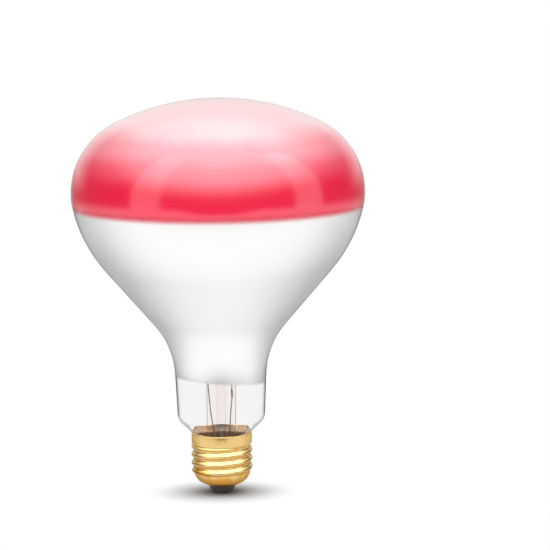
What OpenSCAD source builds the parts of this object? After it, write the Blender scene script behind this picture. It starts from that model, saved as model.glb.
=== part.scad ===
// Infrared heat lamp bulb: a blown reflector bulb with a red front, a silvered flank, a clear neck
// and a rolled screw base.
// Millimetres. +Z runs up the bulb's axis; z = 0 is the flat face of the contact at the base's tip.

/* [Bulb glass] */
// Widest diameter of the glass, under the red coat
glass_d = 124.6; // [118:0.2:130]
// Height of the widest line above the base's rim
bulb_rise = 103.4; // [100:0.2:107]
// Height of the crown above the widest line
crown_h = 39.8; // [37:0.2:44]
// Radius of the rounded edge at the widest line
knuckle_r = 33; // [30:0.5:36]
// How far below the widest line the rounded edge runs
knuckle_angle = 15.5; // [8:0.5:22]
// Radius of the flank's long curve below the rounded edge
belly_r = 62.5; // [55:0.5:70]
// Angle of the straight flank from the axis
cone_angle = 40.5; // [38:0.5:43]
// Radius where the flank runs out into the neck
throat_r = 36; // [30:1:42]
// Diameter of the neck
neck_d = 38.4; // [36:0.2:41]
// How far above the base's rim the neck's diameter is taken
neck_rise = 17.4; // [16:0.2:19]
// Angle at which the neck widens upwards
neck_flare = 2.6; // [0.5:0.1:4]
// Angle of the shoulder above the base, from the axis
shoulder_angle = 46; // [42:0.5:50]
// Radius between the shoulder and the neck
shoulder_r = 6; // [4:0.25:7]
// Gap between the shoulder and the rim of the base
rim_gap = 0.18; // [0.1:0.01:0.5]
// Gap between the glass tube inside the base and the thread
spigot_gap = 0.9; // [0.7:0.05:1.4]
// How far that tube reaches down below the cement
spigot_reach = 2; // [1:0.25:3]
// Radius where that tube meets the shoulder
spigot_fillet = 1.2; // [0.6:0.1:2]
// Thickness of the blown glass
glass_wall = 0.9; // [0.7:0.05:1.2]

/* [Coatings] */
// Thickness of the red coat on the outside
coat_wall = 0.2; // [0.1:0.05:0.3]
// How far the red coat reaches below the widest line
coat_drop = 5; // [1:0.5:10]
// Thickness of the silver film on the inside
film_wall = 0.2; // [0.1:0.05:0.3]
// How far the silver film reaches up behind the red coat
film_lap = 5; // [1:0.5:8]
// Height of the silver film's lower edge above the base's rim, on the axis
film_rise = 22; // [20:0.1:25]
// Angle at which that edge falls to the right
film_tilt_side = 4.2; // [0:0.1:6]
// Angle at which that edge falls to the back
film_tilt_back = 3; // [0:0.1:5]

/* [Screw shell] */
// Thickness of the rolled brass
sheet = 0.3; // [0.25:0.01:0.35]
// Height of the base's rim above the contact's face
base_h = 26.6; // [25:0.1:28]
// Diameter over the thread's crests
crest_d = 26.2; // [25:0.1:27]
// Depth of the thread
thread_depth = 0.9; // [0.7:0.05:1.1]
// Rise of the thread from one crest to the next
pitch = 3.629; // [3.4:0.001:3.8]
// Height of one crest above the thread's start, on the +X side
crest_rise = 2.8; // [0.5:0.1:3.5]
// Height over which the thread fades out at each end
fade_h = 1.4; // [1:0.1:2]
// Height of the plain collar, with its lip
collar_h = 4.7; // [4:0.1:6]
// How far the collar lies inside the crests
collar_step = 0.2; // [0.1:0.05:0.4]
// Height of the lip at the rim
lip_h = 0.7; // [0.5:0.05:0.8]
// How far the lip flares out from the collar
lip_flare = 0.35; // [0.2:0.05:0.45]
// Height of the bowl below the thread
bowl_h = 5.2; // [4.6:0.1:6]
// How far the bowl's edge lies inside the thread's roots
bowl_step = 0.25; // [0.1:0.05:0.5]
// How far the bowl's flank leans in on its way down
bowl_lean = 1.5; // [1:0.05:2.5]
// Height of the bowl's corner above its opening
bowl_turn_h = 2; // [1.6:0.1:2.4]
// Radius of the bowl's corner
bowl_turn_r = 4.5; // [2:0.1:5]
// Diameter of the bowl's opening at the tip
bowl_open_d = 12.4; // [11:0.1:14]

/* [Insulator and contact] */
// Height of the bowl's opening above the contact's face
tip_h = 3.4; // [2.8:0.05:3.8]
// Diameter of the insulator's tip
tip_d = 9; // [8.2:0.1:9.6]
// How far the insulator's top lies below the thread
insulator_drop = 0.8; // [0.4:0.1:1.6]
// Diameter of the hole for the lead
lead_hole_d = 1.2; // [0.8:0.05:1.5]
// Diameter of the contact plate
contact_d = 7.6; // [7:0.1:8]
// Thickness of the contact plate
contact_t = 0.4; // [0.3:0.05:0.6]
// Rounding of the contact plate's edge
contact_round = 0.2; // [0.05:0.05:0.25]
// Diameter of the contact's hole
eyelet_d = 2.2; // [1.8:0.1:2.6]
// Height of the solder above the contact plate
solder_h = 0.8; // [0.4:0.1:1.5]
// Diameter of the solder spot on the collar
spot_d = 1.6; // [1.2:0.1:2]
// How far the solder spot stands out
spot_rise = 0.2; // [0.1:0.01:0.2]
// How far the side lead's hole lies below the rim
side_hole_drop = 1.7; // [1.4:0.05:2]

/* [Cement] */
// How far the cement reaches down below the collar
cement_drop = 2.9; // [2:0.1:4]

/* [Stem] */
// Diameter of the stem's tube
stem_d = 13.6; // [13:0.1:14.4]
// Thickness of the stem's glass
stem_wall = 0.8; // [0.7:0.05:1]
// Width of the flat edge outside the flare's rounding
flare_land = 1; // [0.8:0.05:1.4]
// Length of the tube, from the flare up to the press
stem_tube_l = 37; // [34:0.5:40]
// Depth of the tube's bore into the press
stem_bore_depth = 2; // [1.5:0.1:2.5]
// Rounding inside the bore's closed end
stem_bore_round = 0.5; // [0.2:0.05:0.5]
// Height over which the round tube turns into the flat press
press_taper_h = 10; // [8:0.5:13]
// Height of the flat press
press_h = 9; // [7:0.5:12]
// Width of the press
press_w = 15; // [14:0.1:16]
// Thickness of the press
press_t = 4.4; // [4:0.1:5]
// Diameter of the exhaust tube
exhaust_d = 5; // [4.4:0.1:5.2]
// Thickness of the exhaust tube's glass
exhaust_wall = 0.8; // [0.6:0.05:1]
// How far the exhaust tube's sealed tip reaches below the flare
exhaust_reach = 4; // [3:0.25:5]
// Depth of the exhaust tube's seat in the press
exhaust_seat = 4; // [3:0.25:5]
// Diameter of the blow hole in the press
blow_hole_d = 2; // [1.5:0.1:2.4]

/* [Leads] */
// Distance of the leads' axes from the wall of the stem's bore, at the press
lead_inset = 1; // [0.9:0.05:1.2]
// Diameter of the wires sealed in the press
seal_wire_d = 0.7; // [0.5:0.05:0.8]
// Diameter of the thin leads down to the base
outer_wire_d = 0.5; // [0.4:0.02:0.5]
// Gap between the side lead and the flare that it passes under
flare_gap = 0.5; // [0.3:0.05:0.8]
// Diameter of the stiff leads up to the filament
inner_wire_d = 0.9; // [0.7:0.05:1]
// Diameter of the weld bead on the centre lead
bead_d = 0.9; // [0.7:0.05:1]
// Length of the weld bead
bead_l = 3; // [2:0.1:4]

/* [Filament and supports] */
// Radius of the filament's ring
ring_r = 15; // [13:0.5:17]
// Height of the filament's ring above the press
ring_rise = 25; // [22:0.5:29]
// Angle of the gap in the ring, at the front
ring_gap = 70; // [60:1:90]
// Outer diameter of the filament's coil
coil_d = 1.8; // [1.4:0.1:2.2]
// Diameter of the filament's wire
filament_wire_d = 0.3; // [0.2:0.02:0.36]
// Turns of the filament's coil
coil_turns = 48; // [24:1:52]
// Diameter of the clamps that hold the filament's ends
clamp_d = 1.6; // [1.2:0.1:2]
// Length of the clamps
clamp_l = 2.4; // [2:0.1:3]
// Gap between a clamp and the filament's first turn
clamp_gap = 0.04; // [0.02:0.01:0.1]
// Diameter of the glass support rod
rod_d = 3; // [2.6:0.1:3.4]
// Diameter of the rod's button
button_d = 8; // [7:0.1:9]
// Height of the middle of the button above the press
button_rise = 14.5; // [12:0.5:16]
// Thickness of the button
button_t = 3.6; // [3.2:0.1:4]
// Rounding of the button's edge
button_round = 1.4; // [1:0.1:1.5]
// Diameter of the support wires
support_wire_d = 0.4; // [0.3:0.02:0.5]
// Gap between a support's loop and the coil
loop_gap = 0.1; // [0.05:0.01:0.2]

/* [Hidden] */
$fn = 96;
// Overrun of every cut
cut = 1;
// Columns of the rolled thread round the shell, and its rows in one turn
thread_columns = 40;
thread_rows = 12;
// Steps along each arc of an outline
short_arc_steps = 8;
long_arc_steps = 12;
knuckle_steps = 32;
crown_steps = 20;
// Sides of small rounds, of a loop's wire, of a swept wire and of the solder spot
small_sides = 32;
loop_sides = 16;
wire_sides = 8;
spot_sides = 12;
// Steps in one turn of the filament's coil, and sides of its wire
coil_steps = 8;
coil_sides = 4;
// Number of support wires
supports = 5;
// The thread's end rings reach into the collar's and the bowl's edges, and stay inside their walls:
// shares of the sheet's thickness
landing_reach_share = 0.5;
landing_share = 0.125;

// Radii
glass_r = glass_d / 2;
neck_r = neck_d / 2;
crest_r = crest_d / 2;
root_r = crest_r - thread_depth;
collar_r = crest_r - collar_step;
rim_r = collar_r + lip_flare;
bowl_r = root_r - bowl_step;
spigot_r = root_r - sheet - spigot_gap;
stem_r = stem_d / 2;
exhaust_r = exhaust_d / 2;
outer_wire_r = outer_wire_d / 2;
support_wire_r = support_wire_d / 2;
filament_wire_r = filament_wire_d / 2;
coil_r = coil_d / 2 - filament_wire_r;
loop_r = coil_d / 2 + loop_gap + support_wire_r;
// Distance of the leads from the bulb's axis at the press
seal_x = stem_r - stem_wall - lead_inset;

// Heights, from the contact up
thread_bottom_z = tip_h + bowl_h;
crest_z = thread_bottom_z + crest_rise;
insulator_top_z = thread_bottom_z - insulator_drop;
thread_top_z = base_h - collar_h;
side_hole_z = base_h - side_hole_drop;
cement_z = thread_top_z - cement_drop;
spigot_z = cement_z - spigot_reach;
exhaust_tip_z = spigot_z - exhaust_reach;
stem_tube_z = spigot_z + stem_tube_l;
bore_end_z = stem_tube_z + stem_bore_depth;
press_z = stem_tube_z + press_taper_h;
press_top_z = press_z + press_h;
button_z = press_top_z + button_rise;
ring_z = press_top_z + ring_rise;
neck_z = base_h + neck_rise;
film_edge_z = base_h + film_rise;
equator_z = base_h + bulb_rise;
coat_edge_z = equator_z - coat_drop;
film_top_z = coat_edge_z + film_lap;
glass_top = equator_z + crown_h;

// A unit vector along v, and the left-hand normal of v
function unit(v) = v / norm(v);
function left_of(v) = unit([-v.y, v.x]);

// A list without its first entry
function rest(points) = [for (i = [1:len(points) - 1]) points[i]];

function reversed(path) = [for (i = [len(path) - 1:-1:0]) path[i]];

// Points of an arc in the r, z plane, in steps of equal angle
function arc(centre, radius, from, to, steps) =
    [for (i = [0:steps]) centre + radius * [cos(from + (to - from) * i / steps),
                                            sin(from + (to - from) * i / steps)]];

// The arc that rounds corner b between a and c
function corner_arc(a, b, c, radius, steps) =
    let (u = unit(a - b), v = unit(c - b), half = acos(u * v) / 2,
         centre = b + unit(u + v) * radius / sin(half),
         p = b + u * radius / tan(half) - centre,
         q = b + v * radius / tan(half) - centre,
         from = atan2(p.y, p.x),
         turn = atan2(p.x * q.y - p.y * q.x, p * q))
    arc(centre, radius, from, from + turn, steps);

// A path through corners [r, z, rounding], with sharp ends
function rounded_path(corners, steps = short_arc_steps) =
    [for (i = [0:len(corners) - 1])
        let (b = [corners[i].x, corners[i].y])
        each i == 0 || i == len(corners) - 1 || corners[i].z == 0 ? [b]
            : corner_arc([corners[i - 1].x, corners[i - 1].y], b,
                         [corners[i + 1].x, corners[i + 1].y], corners[i].z, steps)];

// The path moved sideways by t, to the left of its own direction; points on the axis stay on it
function moved_path(path, t) =
    [for (i = [0:len(path) - 1])
        let (last = len(path) - 1,
             before = left_of(path[max(i, 1)] - path[max(i, 1) - 1]),
             after = left_of(path[min(i + 1, last)] - path[min(i, last - 1)]),
             p = path[i] + t * (before + after) / (1 + before * after))
        [path[i].x == 0 ? 0 : p.x, p.y]];

// The section of a wall along a path, from t0 to t1 to its left
function wall_section(path, t0, t1) = concat(moved_path(path, t0), reversed(moved_path(path, t1)));

// Ease from 0 to 1 as x goes from a to b
function ease(x, a, b) = let (t = min(1, max(0, (x - a) / (b - a)))) t * t * (3 - 2 * t);

// A point at angle a around the bulb's axis
function around(a, r, z) = [r * cos(a), r * sin(a), z];

// A solid tube along points in space, with flat ends square to its first and last stretches
module wire(points, radius, sides = wire_sides) {
    last = len(points) - 1;
    along = [for (i = [0:last]) unit(unit(points[min(i + 1, last)] - points[min(i, last - 1)])
                                     + unit(points[max(i, 1)] - points[max(i, 1) - 1]))];
    rings = wire_rings(points, along, radius, sides);
    faces = concat(
        [[for (k = [0:sides - 1]) k]],
        [for (i = [0:last - 1], k = [0:sides - 1]) each
            let (a = i * sides + k, b = i * sides + (k + 1) % sides)
            [[a, a + sides, b + sides], [a, b + sides, b]]],
        [[for (k = [sides - 1:-1:0]) last * sides + k]]);
    polyhedron(points = rings, faces = faces);
}

// The rings of a wire: each ring's frame is carried on from the one before, so it never twists
function wire_rings(points, along, radius, sides) =
    let (first = wire_side(along[0], abs(along[0].x) < 0.9 ? [1, 0, 0] : [0, 1, 0]),
         frames = [for (i = 0, s = first; i < len(points);
                        i = i + 1, s = i < len(points) ? wire_side(along[i], s) : s) s])
    [for (i = [0:len(points) - 1], k = [0:sides - 1])
        let (turn = 360 * k / sides)
        points[i] + radius * (cos(turn) * frames[i] + sin(turn) * cross(along[i], frames[i]))];
function wire_side(t, s) = unit(s - (s * t) * t);

// Blown glass. The crown, the rounded edge and the long curve of the flank are arcs that meet without
// a corner, and so are the throat and the straight stretches on both sides of it.

crown_r = (pow(glass_r - knuckle_r, 2) + pow(crown_h, 2) - pow(knuckle_r, 2))
          / (2 * (crown_h - knuckle_r));
crown_centre = [0, glass_top - crown_r];
knuckle_centre = [glass_r - knuckle_r, equator_z];
knuckle_end = atan2(knuckle_centre.y - crown_centre.y, knuckle_centre.x);
belly_centre = knuckle_centre + (knuckle_r - belly_r) * [cos(knuckle_angle), -sin(knuckle_angle)];
cone_normal = [cos(cone_angle), -sin(cone_angle)];
neck_normal = [cos(neck_flare), -sin(neck_flare)];
cone_reach = cone_normal * (belly_centre + belly_r * cone_normal) + throat_r;
neck_reach = neck_normal * [neck_r, neck_z] + throat_r;
throat_det = cone_normal.x * neck_normal.y - cone_normal.y * neck_normal.x;
throat_centre = [cone_reach * neck_normal.y - cone_normal.y * neck_reach,
                 cone_normal.x * neck_reach - cone_reach * neck_normal.x] / throat_det;

// The shoulder passes the base's rim at a gap, and runs from the tube in the base out to the neck
rim_pass_r = rim_r - sheet - rim_gap;
shoulder_z = (neck_r - rim_pass_r - neck_z * tan(neck_flare) + base_h * tan(shoulder_angle))
             / (tan(shoulder_angle) - tan(neck_flare));
shoulder_top_r = neck_r + (shoulder_z - neck_z) * tan(neck_flare);
spigot_top_z = base_h - (rim_pass_r - spigot_r) / tan(shoulder_angle);

throat_arc = arc(throat_centre, throat_r, 180 - neck_flare, 180 - cone_angle, long_arc_steps);
crown_arc = arc(crown_centre, crown_r, knuckle_end, 90, crown_steps);
bulb_path = concat(
    rounded_path([[spigot_r, spigot_z, 0], [spigot_r, spigot_top_z, spigot_fillet],
                  [shoulder_top_r, shoulder_z, shoulder_r],
                  [throat_arc[0].x, throat_arc[0].y, 0]]),
    rest(throat_arc),
    arc(belly_centre, belly_r, -cone_angle, -knuckle_angle, short_arc_steps),
    rest(arc(knuckle_centre, knuckle_r, -knuckle_angle, knuckle_end, knuckle_steps)),
    [for (i = [1:crown_steps - 1]) crown_arc[i]],
    [[0, glass_top]]
);

module envelope() {
    color([0.86, 0.9, 0.92, 0.35]) rotate_extrude() polygon(wall_section(bulb_path, 0, glass_wall));
}

// The space inside the glass's outside, to cut neighbours clear of it
module glass_blank() {
    rotate_extrude() polygon(concat([[0, spigot_z]], bulb_path));
}

module red_coating() {
    color([0.85, 0.05, 0.2]) intersection() {
        rotate_extrude() polygon(wall_section(bulb_path, -coat_wall, 0));
        translate([0, 0, coat_edge_z])
            cylinder(r = glass_r + coat_wall + cut, h = glass_top + coat_wall + cut - coat_edge_z);
    }
}

module reflector_coating() {
    color([0.9, 0.9, 0.88]) intersection() {
        rotate_extrude() polygon(wall_section(bulb_path, glass_wall, glass_wall + film_wall));
        translate([0, 0, film_edge_z]) rotate([-film_tilt_back, film_tilt_side, 0])
            translate([-glass_d, -glass_d, 0]) cube([2 * glass_d, 2 * glass_d, glass_top]);
        cylinder(r = glass_r, h = film_top_z);
    }
}

// Screw base

// The outside of the shell's plain stretches. The bowl ends in a short upright edge under the thread.
collar_path = rounded_path([[collar_r, thread_top_z, 0], [collar_r, base_h - lip_h, lip_h],
                            [rim_r, base_h, 0]]);
bowl_path = rounded_path([[bowl_open_d / 2, tip_h, 0],
                          [bowl_r - bowl_lean, tip_h + bowl_turn_h, bowl_turn_r],
                          [bowl_r, thread_bottom_z - sheet, 0],
                          [bowl_r, thread_bottom_z, 0]]);

// Outside radius of the rolled thread at angle a and height z
function thread_r(a, z) =
    let (start = ease(z, thread_bottom_z, thread_bottom_z + fade_h),
         end = ease(z, thread_top_z - fade_h, thread_top_z),
         plain = bowl_r + (root_r - bowl_r) * start
                 + (collar_r - root_r) * ease(z, thread_top_z - fade_h / 2, thread_top_z),
         turn = (z - crest_z) / pitch - a / 360)
    plain + thread_depth * start * (1 - end) * (1 + cos(360 * turn)) / 2;

// The rolled thread: an outer and an inner sheet of rows and columns, closed by a ring at each end.
// Both ends are a little thinner than the sheet and run on past the thread, so they land inside the
// collar's and the bowl's edges.
module rolled_thread() {
    steps = ceil(thread_rows * (thread_top_z - thread_bottom_z) / pitch);
    reach = sheet * landing_reach_share;
    land = sheet * landing_share;
    heights = concat([thread_bottom_z - reach],
                     [for (j = [0:steps]) thread_bottom_z + (thread_top_z - thread_bottom_z) * j / steps],
                     [thread_top_z + reach]);
    rows = len(heights) - 1;
    n = thread_columns;
    side = (rows + 1) * n;
    points = [for (inner = [0:1], j = [0:rows], k = [0:n - 1])
        let (a = 360 * k / n, z = heights[j], end = j < 2 || j > rows - 2)
        around(a, inner == 0 ? thread_r(a, z) - (end ? land : 0)
                             : end ? (thread_r(a, z) - sheet + land) / cos(180 / n)
                                   : thread_r(a, z) - sheet, z)];
    faces = concat(
        [for (j = [0:rows - 1], k = [0:n - 1]) each
            let (a = j * n + k, b = j * n + (k + 1) % n) [[a, a + n, b + n], [a, b + n, b]]],
        [for (j = [0:rows - 1], k = [0:n - 1]) each
            let (a = side + j * n + k, b = side + j * n + (k + 1) % n) [[a, b + n, a + n], [a, b, b + n]]],
        [for (k = [0:n - 1]) each
            let (a = k, b = (k + 1) % n) [[a, b, b + side], [a, b + side, a + side]]],
        [for (k = [0:n - 1]) each
            let (a = rows * n + k, b = rows * n + (k + 1) % n)
            [[a, b + side, b], [a, a + side, b + side]]]);
    polyhedron(points = points, faces = faces);
}

module screw_shell() {
    color([0.85, 0.68, 0.35]) difference() {
        union() {
            rolled_thread();
            rotate_extrude() polygon(wall_section(collar_path, 0, sheet));
            rotate_extrude() polygon(wall_section(bowl_path, 0, sheet));
        }
        side_lead_wire();
    }
}

module insulator() {
    color([0.12, 0.1, 0.11]) difference() {
        rotate_extrude() polygon(concat(
            [[0, contact_t], [tip_d / 2, contact_t], bowl_path[0]],
            moved_path(bowl_path, sheet),
            [[0, thread_bottom_z]]));
        translate([0, 0, insulator_top_z]) cylinder(r = bowl_r, h = thread_bottom_z);
        cylinder(d = lead_hole_d, h = thread_bottom_z);
    }
}

module centre_contact() {
    color([0.8, 0.68, 0.4]) rotate_extrude() polygon(rounded_path([
        [eyelet_d / 2, 0, 0], [contact_d / 2, 0, contact_round],
        [contact_d / 2, contact_t, 0], [eyelet_d / 2, contact_t, 0]]));
}

module contact_solder() {
    color([0.7, 0.7, 0.7]) union() {
        cylinder(d = eyelet_d, h = contact_t);
        cylinder(d = lead_hole_d, h = contact_t + solder_h);
    }
}

// A low dome of flats, cut to lie on the collar, with the side lead's end in it
module side_solder() {
    dome_r = (pow(spot_d / 2, 2) + pow(spot_rise, 2)) / (2 * spot_rise);
    edge = asin(spot_d / 2 / dome_r);
    dome = arc([0, spot_rise - dome_r], dome_r, 90 - edge, 90, short_arc_steps);
    color([0.7, 0.7, 0.7]) difference() {
        translate([0, collar_r, side_hole_z]) rotate([-90, 0, 0]) rotate_extrude($fn = spot_sides)
            polygon(concat([[0, -spot_rise], [dome[0].x, -spot_rise]],
                           [for (i = [0:short_arc_steps - 1]) dome[i]], [[0, spot_rise]]));
        collar_flats(2 * asin(spot_d / 2 / collar_r));
        side_lead_wire();
    }
}

// The collar's back as flats that touch it, over this angle and a little more
module collar_flats(angle) {
    flats = 8;
    flat = 2 * angle / flats;
    linear_extrude(height = base_h) polygon(concat([[0, 0]],
        [for (i = [0:flats]) let (a = 90 - angle + i * flat)
            collar_r / cos(flat / 2) * [cos(a), sin(a)]]));
}

module cement_ring() {
    thread_inner_r = root_r - 2 * sheet;
    color([0.6, 0.45, 0.33]) difference() {
        rotate_extrude() polygon(concat(
            [[spigot_r - glass_wall, cement_z], [thread_inner_r, cement_z],
             [thread_inner_r, thread_top_z]],
            moved_path(collar_path, sheet),
            [[spigot_r - glass_wall, base_h]]));
        glass_blank();
        side_lead_wire();
    }
}

// Stem and exhaust tube

// Share of the stem's wall by which the press starts inside the tube's outside
press_seat_share = 0.25;

flare_path = rounded_path([[spigot_r, spigot_z, 0], [stem_r, spigot_z, spigot_r - stem_r - flare_land],
                           [stem_r, stem_tube_z, 0]]);

module stem() {
    inside = moved_path(flare_path, stem_wall);
    seat_z = bore_end_z + exhaust_seat;
    color([0.85, 0.9, 0.9, 0.4]) difference() {
        union() {
            rotate_extrude() polygon(concat([[0, spigot_z - stem_wall]], [inside[0]], flare_path,
                                            [[0, stem_tube_z]]));
            hull() {
                translate([0, 0, stem_tube_z - stem_wall])
                    cylinder(r = stem_r - stem_wall * press_seat_share, h = stem_wall, $fn = small_sides);
                for (side = [-1, 1]) translate([side * (press_w - press_t) / 2, 0, press_z])
                    cylinder(d = press_t, h = press_h, $fn = small_sides);
            }
        }
        rotate_extrude() polygon(concat(
            [[0, spigot_z - stem_wall - cut], [inside[0].x, spigot_z - stem_wall - cut]],
            rounded_path(concat([for (i = [0:len(inside) - 2]) [inside[i].x, inside[i].y, 0]],
                                [[stem_r - stem_wall, bore_end_z, stem_bore_round],
                                 [0, bore_end_z, 0]]))));
        for (side = [-1, 1]) translate([side * seal_x, 0, bore_end_z - cut])
            cylinder(d = seal_wire_d, h = press_top_z - bore_end_z + 2 * cut);
        translate([0, 0, bore_end_z - cut]) cylinder(r = exhaust_r, h = exhaust_seat + cut);
        cylinder(r = exhaust_r - exhaust_wall, h = seat_z + blow_hole_d);
        translate([0, 0, seat_z + blow_hole_d / 2]) rotate([-90, 0, 0])
            cylinder(d = blow_hole_d, h = stem_r);
    }
}

module exhaust_tube() {
    bore_r = exhaust_r - exhaust_wall;
    length = bore_end_z + exhaust_seat - exhaust_tip_z;
    color([0.85, 0.9, 0.9, 0.4]) translate([0, 0, exhaust_tip_z]) difference() {
        rotate_extrude() polygon(rounded_path([[0, 0, 0], [exhaust_r, exhaust_r, exhaust_r],
                                               [exhaust_r, length, 0], [0, length, 0]]));
        rotate_extrude() polygon(rounded_path([[0, 2 * exhaust_wall, 0],
                                               [bore_r, exhaust_r + exhaust_wall, bore_r],
                                               [bore_r, length + cut, 0], [0, length + cut, 0]]));
    }
}

// Leads

module seal_wire(side) {
    color([0.75, 0.45, 0.35]) translate([side * seal_x, 0, bore_end_z])
        cylinder(d = seal_wire_d, h = press_top_z - bore_end_z);
}
module seal_wire_left() { seal_wire(-1); }
module seal_wire_right() { seal_wire(1); }

// Places down inside the stem: shares of the leads' distance from the axis in x and y, and of the
// height from the flare up to the end of the bore
side_route_shares = [
    [-1.06, 0, 0.9], [-1.12, 0, 0.77], [-1.02, -0.1, 0.62], [-0.9, -0.2, 0.45],
    [-0.68, -0.28, 0.28], [-0.56, -0.3, 0.17], [-0.6, 0.3, 0.06]
];
centre_route_shares = [[0.88, 0, 0.55], [0.78, 0, 0.42], [0.73, 0, 0.3], [0.69, 0, 0.17]];
// The same for the weld bead's ends and the place above it
bead_shares = [[0.96, 0, 0.86], [0.92, 0, 0.705], [0.95, 0, 0.705]];
// Shares of the leads' distance at the exhaust tube's tip and half way down to the insulator
centre_foot_shares = [0.68, 0.4];
// Shares of the tube's radius, in x and y, where the side lead passes under the flare
under_flare_shares = [[-0.23, 0.45], [-0.09, 0.8]];

function in_stem(shares) = [shares.x * seal_x, shares.y * seal_x,
                            spigot_z + (bore_end_z - spigot_z) * shares.z];

// The side lead passes under the flare, climbs between the glass and the thread, and then in the collar
climb_r = (spigot_r + root_r - sheet) / 2;
collar_climb_r = collar_r - sheet - outer_wire_d;
under_flare_z = spigot_z - stem_wall - flare_gap - outer_wire_r;

module side_lead_wire() {
    wire(concat(
        [[-seal_x, 0, bore_end_z], [-seal_x, 0, bore_end_z - outer_wire_d]],
        [for (shares = side_route_shares) in_stem(shares)],
        [for (i = [0:1]) [under_flare_shares[i].x * spigot_r, under_flare_shares[i].y * spigot_r,
                          under_flare_z - i * outer_wire_d]],
        [[0, climb_r - outer_wire_r, under_flare_z],
         [0, climb_r, spigot_z],
         [0, climb_r, thread_top_z - fade_h / 2],
         [0, collar_climb_r, thread_top_z + fade_h],
         [0, collar_climb_r, side_hole_z - outer_wire_r],
         [0, collar_climb_r + outer_wire_r, side_hole_z],
         [0, collar_r + spot_rise / 2, side_hole_z]]
    ), outer_wire_r);
}

module outer_lead_side() { color([0.45, 0.35, 0.33]) side_lead_wire(); }

module outer_lead_centre() {
    bead = [in_stem(bead_shares[1]), in_stem(bead_shares[2]) - [0, 0, bead_l]];
    color([0.45, 0.35, 0.33]) union() {
        wire(concat(
            [[seal_x, 0, bore_end_z], [seal_x, 0, bore_end_z - outer_wire_d], in_stem(bead_shares[0])],
            bead,
            [for (shares = centre_route_shares) in_stem(shares)],
            [[seal_x * centre_foot_shares[0], 0, exhaust_tip_z],
             [seal_x * centre_foot_shares[1], 0, (exhaust_tip_z + insulator_top_z) / 2],
             [0, 0, insulator_top_z],
             [0, 0, contact_t + solder_h]]
        ), outer_wire_r);
        wire(bead, bead_d / 2);
    }
}

// Filament, its leads and its supports

ring_start = -90 + ring_gap / 2;
ring_turn = 360 - ring_gap;
clamp_turn = asin((clamp_l / 2 + clamp_gap) / ring_r);
// Share of the way from the press up to the button that the inner leads run straight
straight_share = 0.3;
// Share of the way from the button up to the ring that a support wire takes to bend
bend_share = 0.125;
// Share of the button's radius at which a support wire's root sits
support_root_share = 0.5;

module inner_lead(side) {
    a = side > 0 ? ring_start - clamp_turn : 180 - ring_start + clamp_turn;
    top = around(a, ring_r, ring_z);
    foot = [side * seal_x, 0, press_top_z];
    color([0.7, 0.7, 0.68]) union() {
        wire([foot, foot + [0, 0, button_rise * straight_share],
              [(foot.x + top.x) / 2, top.y / 2, button_z],
              [top.x, top.y, ring_z - clamp_d], top], inner_wire_d / 2);
        translate(top) rotate([90, 0, a])
            cylinder(d = clamp_d, h = clamp_l, center = true, $fn = small_sides);
    }
}
module inner_lead_left() { inner_lead(-1); }
module inner_lead_right() { inner_lead(1); }

support_root_r = button_d / 2 * support_root_share;
function support_angle(i) = ring_start + ring_turn * i / (supports + 1);

module support_wire(i) {
    bend = (ring_z - button_z) * bend_share;
    meet = loop_r * cos(45);
    color([0.6, 0.6, 0.62]) rotate([0, 0, support_angle(i)]) union() {
        wire([[support_root_r, 0, button_z], [button_d / 2 + bend, 0, button_z],
              [button_d / 2 + 2 * bend, 0, button_z + bend],
              [ring_r - meet, 0, ring_z - meet]], support_wire_r);
        translate([ring_r, 0, ring_z]) rotate([90, 0, 0])
            rotate_extrude($fn = small_sides) translate([loop_r, 0])
                circle(r = support_wire_r, $fn = loop_sides);
    }
}
module support_wire_1() { support_wire(1); }
module support_wire_2() { support_wire(2); }
module support_wire_3() { support_wire(3); }
module support_wire_4() { support_wire(4); }
module support_wire_5() { support_wire(5); }

module support_rod() {
    low = button_z - button_t / 2;
    high = button_z + button_t / 2;
    color([0.85, 0.9, 0.9, 0.5]) difference() {
        rotate_extrude() polygon(rounded_path([
            [0, press_top_z, 0], [rod_d / 2, press_top_z, 0], [rod_d / 2, low, rod_d / 4],
            [button_d / 2, low, button_round], [button_d / 2, high, button_round], [0, high, 0]]));
        for (i = [1:supports]) rotate([0, 0, support_angle(i)]) translate([support_root_r, 0, button_z])
            rotate([0, 90, 0]) cylinder(r = support_wire_r, h = button_d);
    }
}

// The coil starts and ends on the ring's own line, where the clamps hold it
module filament() {
    last = coil_turns * coil_steps;
    color([0.35, 0.35, 0.37]) wire([for (i = [0:last])
        let (r = coil_r * max(0, min(1, (i - 1) / coil_steps, (last - 1 - i) / coil_steps)),
             turn = 360 * i / coil_steps)
        around(ring_start + ring_turn * i / last, ring_r + r * cos(turn), ring_z + r * sin(turn))],
        filament_wire_r, coil_sides);
}

envelope();
red_coating();
reflector_coating();
screw_shell();
insulator();
centre_contact();
contact_solder();
side_solder();
cement_ring();
stem();
exhaust_tube();
seal_wire_left();
seal_wire_right();
outer_lead_side();
outer_lead_centre();
inner_lead_left();
inner_lead_right();
support_rod();
support_wire_1();
support_wire_2();
support_wire_3();
support_wire_4();
support_wire_5();
filament();
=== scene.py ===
import math

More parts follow.
